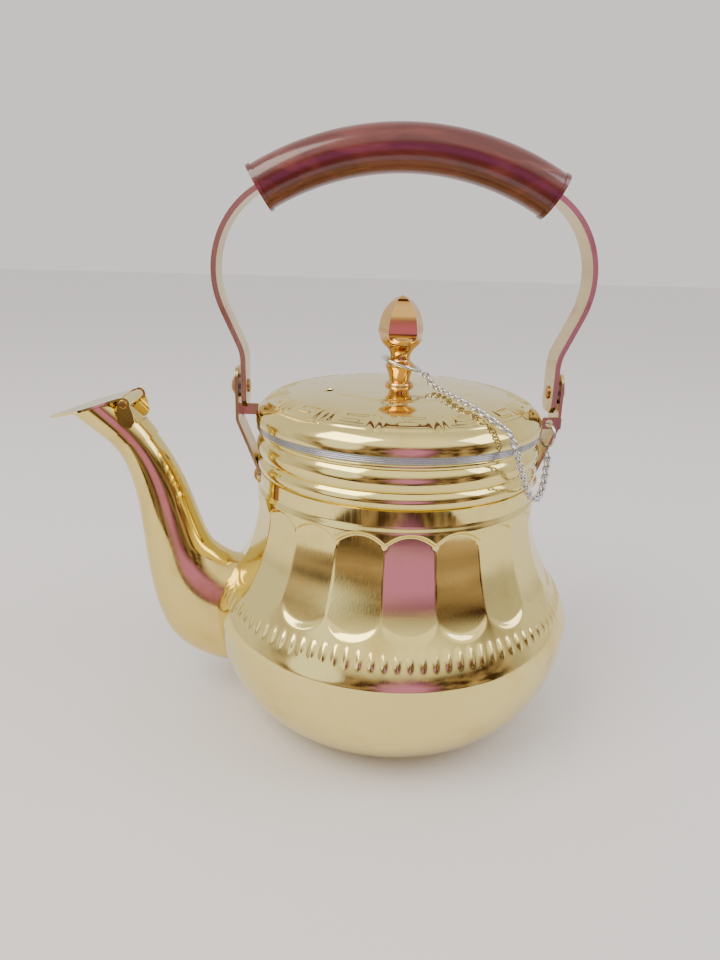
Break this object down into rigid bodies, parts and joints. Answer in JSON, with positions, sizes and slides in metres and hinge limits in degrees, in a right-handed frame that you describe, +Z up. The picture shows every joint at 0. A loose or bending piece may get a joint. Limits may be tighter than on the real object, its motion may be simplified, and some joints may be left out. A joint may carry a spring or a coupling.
{
  "type": "kettle",
  "caption": "Fluted brass kettle with a swan-neck spout, hinged spout flap, lift-off lid on a chain, and a swinging strap bail with a moulded grip.",
  "frame": {"origin": "middle of the flat bottom, on the surface the kettle stands on", "axes": "+Z up, -X towards the spout, -Y towards the side where the chain hangs; the bail turns about an axis parallel to X"},
  "size_m": [0.2369, 0.165, 0.2595],
  "materials": {
    "brass_bowl": "polished sheet brass",
    "brass_body": "polished sheet brass",
    "brass_spout": "polished sheet brass",
    "brass_fittings": "polished sheet brass",
    "brass_brackets": "polished sheet brass",
    "brass_rivets": "polished sheet brass",
    "brass_strap": "polished sheet brass",
    "brass_lid": "polished sheet brass",
    "brass_lid_inside": "polished sheet brass",
    "brass_knob": "polished sheet brass",
    "brass_flap": "polished sheet brass",
    "tinned_rim": "finely ribbed tinned band",
    "dark_steel": "plain steel washer",
    "chromed_wire": "bright plated wire",
    "chain_links": "bright plated curb chain",
    "moulded_grip": "glossy marbled red-brown moulding",
    "screw_steel": "plated screw steel"
  },
  "bodies": {
    "vessel": {"lower_bowl": "brass_bowl", "upper_body": "brass_body", "rim_band": "tinned_rim", "spout": "brass_spout", "flap_saddle": "brass_fittings", "flap_pin": "brass_fittings", "left_bracket": "brass_brackets", "right_bracket": "brass_brackets", "left_foot_rivets": "brass_rivets", "right_foot_rivets": "brass_rivets", "left_pivot_rivet": "brass_rivets", "right_pivot_rivet": "brass_rivets", "left_spacer": "dark_steel", "right_spacer": "dark_steel", "split_ring": "chromed_wire", "chain_hanging": "chain_links"},
    "bail": {"bail_strap": "brass_strap", "grip": "moulded_grip"},
    "lid": {"lid_shell": "brass_lid", "lid_collar": "brass_lid_inside", "knob_foot": "brass_knob", "knob": "brass_knob", "knob_washer": "screw_steel", "knob_screw": "screw_steel", "knob_ring": "chromed_wire", "chain_over_lid": "chain_links"},
    "flap": {"spout_flap": "brass_flap"}
  },
  "joints": [
    {"name": "bail_hinge", "type": "hinge", "parent": "vessel", "child": "bail", "pos_m": [0, 0, 0.153], "axis": [1, 0, 0], "range_deg": [-100, 100]},
    {"name": "lid_lift", "type": "slide", "parent": "vessel", "child": "lid", "axis": [0, 0, 1], "range_m": [0, 0.03]},
    {"name": "flap_hinge", "type": "hinge", "parent": "vessel", "child": "flap", "pos_m": [-0.1178, 0, 0.146], "axis": [0, 1, 0], "range_deg": [0, 95]}
  ]
}
